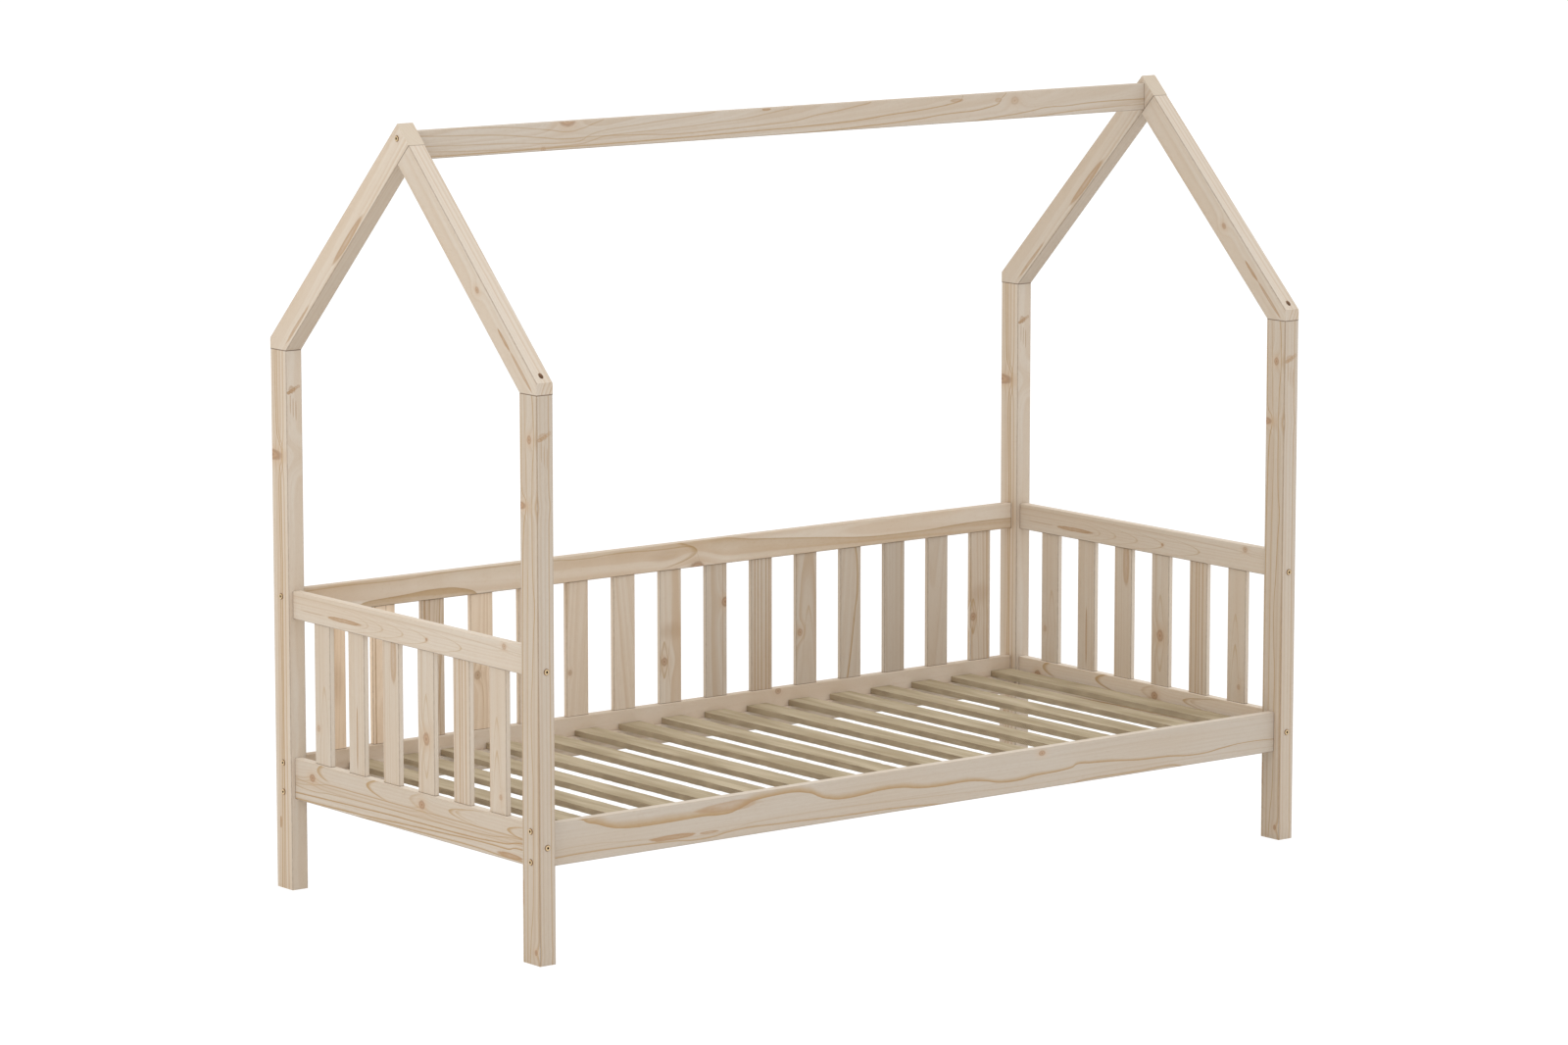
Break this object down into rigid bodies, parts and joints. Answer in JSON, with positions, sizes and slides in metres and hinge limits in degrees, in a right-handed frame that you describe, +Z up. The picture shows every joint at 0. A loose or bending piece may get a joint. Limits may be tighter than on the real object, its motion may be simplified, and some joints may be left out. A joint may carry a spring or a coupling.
{
  "type": "house frame bed",
  "caption": "House-shaped floor bed in bare pine: corner posts, two gables with a ridge board, spindle panels at the back and ends, a low front rail and a slatted base.",
  "frame": {"origin": "on the floor, under the middle of the bed", "axes": "+X along the length towards the right-hand end seen from the open front, +Y from the open front towards the back panel, +Z up"},
  "size_m": [2.0844, 0.9844, 1.6899],
  "materials": {
    "planed_pine": "bare planed pine with straight grain and small knots",
    "ledger_pine": "bare planed softwood strip",
    "sawn_pine": "rough sawn softwood, fine saw marks",
    "dowel_beech": "turned hardwood, bare",
    "yellow_zinc": "yellow-passivated steel",
    "zinc_steel": "bright zinc-plated steel"
  },
  "bodies": {
    "root": {"apex_screws": "zinc_steel", "back_rail_lower": "planed_pine", "back_rail_upper": "planed_pine", "back_spindle_01": "planed_pine", "back_spindle_02": "planed_pine", "back_spindle_03": "planed_pine", "back_spindle_04": "planed_pine", "back_spindle_05": "planed_pine", "back_spindle_06": "planed_pine", "back_spindle_07": "planed_pine", "back_spindle_08": "planed_pine", "back_spindle_09": "planed_pine", "back_spindle_10": "planed_pine", "back_spindle_11": "planed_pine", "back_spindle_12": "planed_pine", "back_spindle_13": "planed_pine", "back_spindle_14": "planed_pine", "back_spindle_15": "planed_pine", "bed_slat_01": "sawn_pine", "bed_slat_02": "sawn_pine", "bed_slat_03": "sawn_pine", "bed_slat_04": "sawn_pine", "bed_slat_05": "sawn_pine", "bed_slat_06": "sawn_pine", "bed_slat_07": "sawn_pine", "bed_slat_08": "sawn_pine", "bed_slat_09": "sawn_pine", "bed_slat_10": "sawn_pine", "bed_slat_11": "sawn_pine", "bed_slat_12": "sawn_pine", "bed_slat_13": "sawn_pine", "bed_slat_14": "sawn_pine", "bed_slat_15": "sawn_pine", "bed_slat_16": "sawn_pine", "bed_slat_17": "sawn_pine", "connector_screws_long": "yellow_zinc", "connector_screws_short": "yellow_zinc", "eaves_screws": "zinc_steel", "end_rail_lower_left": "planed_pine", "end_rail_lower_right": "planed_pine", "end_rail_upper_left": "planed_pine", "end_rail_upper_right": "planed_pine", "end_spindles_left": "planed_pine", "end_spindles_right": "planed_pine", "front_rail": "planed_pine", "post_back_left": "planed_pine", "post_back_right": "planed_pine", "post_front_left": "planed_pine", "post_front_right": "planed_pine", "rafter_back_left": "planed_pine", "rafter_back_right": "planed_pine", "rafter_front_left": "planed_pine", "rafter_front_right": "planed_pine", "ridge_beam": "planed_pine", "slat_ledger_back": "ledger_pine", "slat_ledger_front": "ledger_pine", "wood_dowels": "dowel_beech"}
  },
  "joints": []
}
